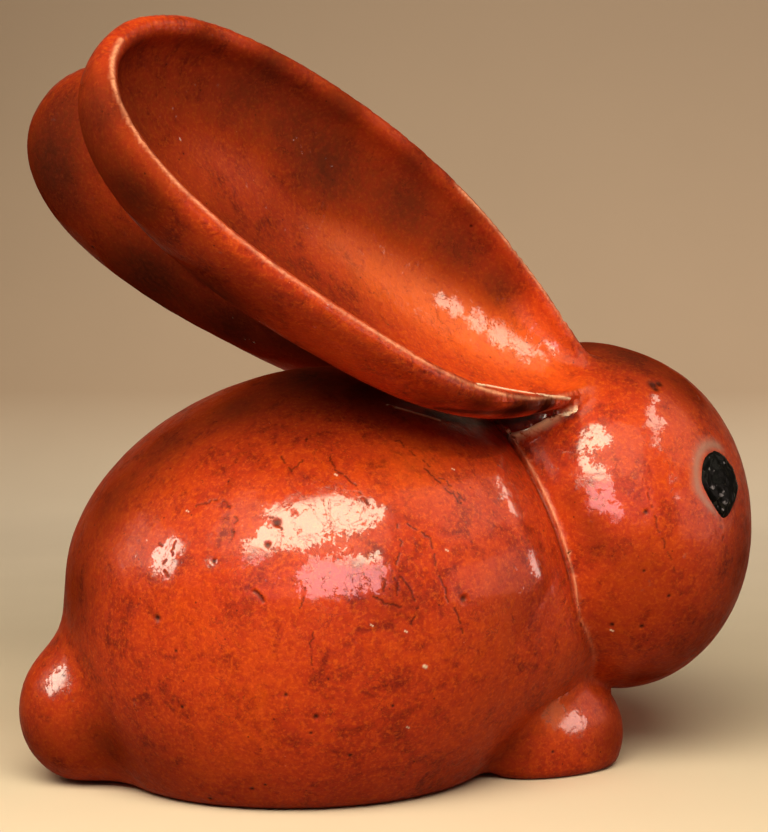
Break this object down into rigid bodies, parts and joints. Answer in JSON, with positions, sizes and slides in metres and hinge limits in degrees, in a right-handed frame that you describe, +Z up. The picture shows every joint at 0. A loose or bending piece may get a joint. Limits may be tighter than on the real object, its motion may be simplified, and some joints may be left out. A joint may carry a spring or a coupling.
{
  "type": "rabbit figurine",
  "caption": "Seated rabbit figurine in orange-red glazed earthenware, with long scooped ears laid back, a round body and head, black eyes and a ball tail, standing on its flat foot.",
  "frame": {"origin": "on the standing surface, under the middle of the bounding box", "axes": "+X from the tail towards the face, +Y towards the rabbit's left side, +Z up"},
  "size_m": [0.223, 0.188, 0.2145],
  "materials": {
    "orange_glaze": "glossy mottled orange-red glaze with dark specks, pinholes and fine cracks; black glaze on the eyes"
  },
  "bodies": {
    "root": {"rabbit": "orange_glaze"}
  },
  "joints": []
}
